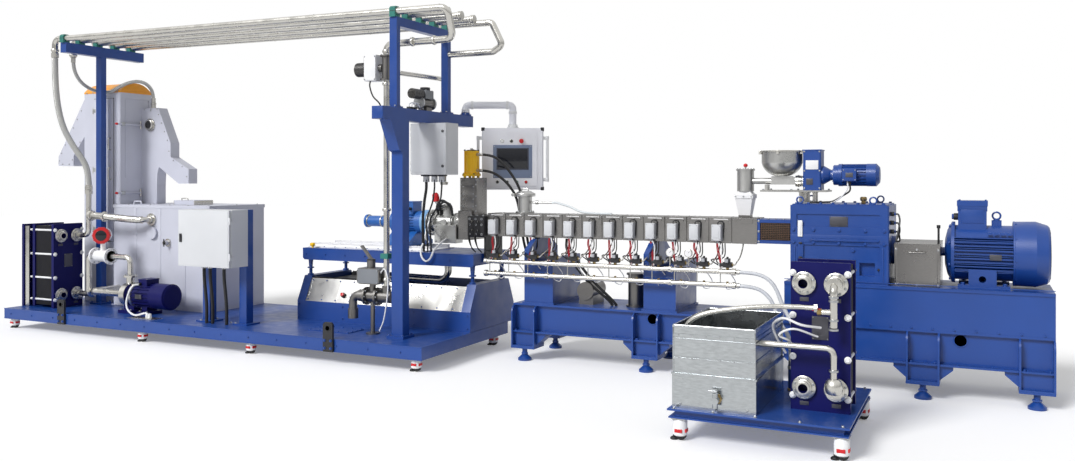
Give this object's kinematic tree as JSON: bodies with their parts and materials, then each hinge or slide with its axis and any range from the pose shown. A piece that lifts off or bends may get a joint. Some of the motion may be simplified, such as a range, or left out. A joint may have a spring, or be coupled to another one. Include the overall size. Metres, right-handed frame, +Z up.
{
  "type": "plastic extruder",
  "caption": "Twin-screw plastic extruder on a blue base, with an underwater pelletising skid, overhead water pipes, dryer and a small water cart.",
  "frame": {"origin": "on the floor, under the middle of the overall box", "axes": "+X along the screws from the die end towards the main motor, +Y towards the back, +Z up"},
  "size_m": [9.237, 2.5474, 2.838],
  "materials": {
    "blue_paint": "satin enamel",
    "navy_paint": "gloss enamel",
    "stainless": "brushed stainless",
    "light_grey_paint": "satin powder coat",
    "white_enamel": "satin enamel",
    "black_steel": "satin black",
    "yellow_paint": "gloss enamel",
    "green_plastic": "moulded clamp halves"
  },
  "bodies": {
    "line": {"adapter_block": "black_steel", "barrel": "stainless", "barrel_covers": "stainless", "barrel_supports": "blue_paint", "base_frame": "blue_paint", "black_hoses": "black_steel", "braided_hoses": "stainless", "cabinet_case": "light_grey_paint", "cabinet_posts": "blue_paint", "cart_deck": "blue_paint", "cart_exchanger": "navy_paint", "cart_pipes": "stainless", "cart_tank": "stainless", "casters": "white_enamel", "catch_tray": "black_steel", "circulation_pump": "navy_paint", "control_box": "light_grey_paint", "cooling_manifolds": "stainless", "coupling_guard": "stainless", "diverter_valve": "stainless", "drain_pipes": "stainless", "drive_pedestal": "blue_paint", "dryer_cap": "yellow_paint", "dryer_tower": "light_grey_paint", "feed_funnel": "white_enamel", "feed_screw_tube": "stainless", "feeder_drive": "blue_paint", "feeder_stand": "stainless", "flow_meter": "white_enamel", "gantry": "blue_paint", "gearbox": "blue_paint", "hopper_bowl": "stainless", "hydraulic_cylinder": "yellow_paint", "lantern": "blue_paint", "levelling_feet": "blue_paint", "lifting_brackets": "black_steel", "main_motor": "blue_paint", "overhead_pipes": "stainless", "pelletiser_table": "blue_paint", "pipe_clamps": "green_plastic", "process_valves": "white_enamel", "skid_deck": "blue_paint", "skid_exchanger": "navy_paint", "skid_pipes": "stainless", "solenoid_valves": "black_steel", "splash_panels": "stainless", "table_rails": "white_enamel", "tank_lid": "light_grey_paint", "tee_post": "blue_paint", "terminal_boxes": "white_enamel", "trolley_pedestal": "blue_paint", "vacuum_set": "black_steel", "vent_dome": "stainless", "water_hoses": "white_enamel", "water_tank": "light_grey_paint"},
    "cabinet_door": {"cabinet_door": "light_grey_paint"},
    "cutter_carriage": {"cutting_chamber": "stainless", "cutter_drive": "blue_paint"},
    "operator_panel": {"operator_panel": "light_grey_paint"}
  },
  "joints": [
    {"name": "cabinet_door_hinge", "type": "hinge", "parent": "line", "child": "cabinet_door", "pos_m": [-1.4455, -0.3807, 0.7], "axis": [0, 0, 1], "range_deg": [0, 110]},
    {"name": "cutter_slide", "type": "slide", "parent": "line", "child": "cutter_carriage", "axis": [-1, 0, 0], "range_m": [0, 0.32]},
    {"name": "panel_swivel", "type": "hinge", "parent": "line", "child": "operator_panel", "pos_m": [0.0657, 0.9177, 2.102], "axis": [0, 0, 1], "range_deg": [0, 110]}
  ]
}
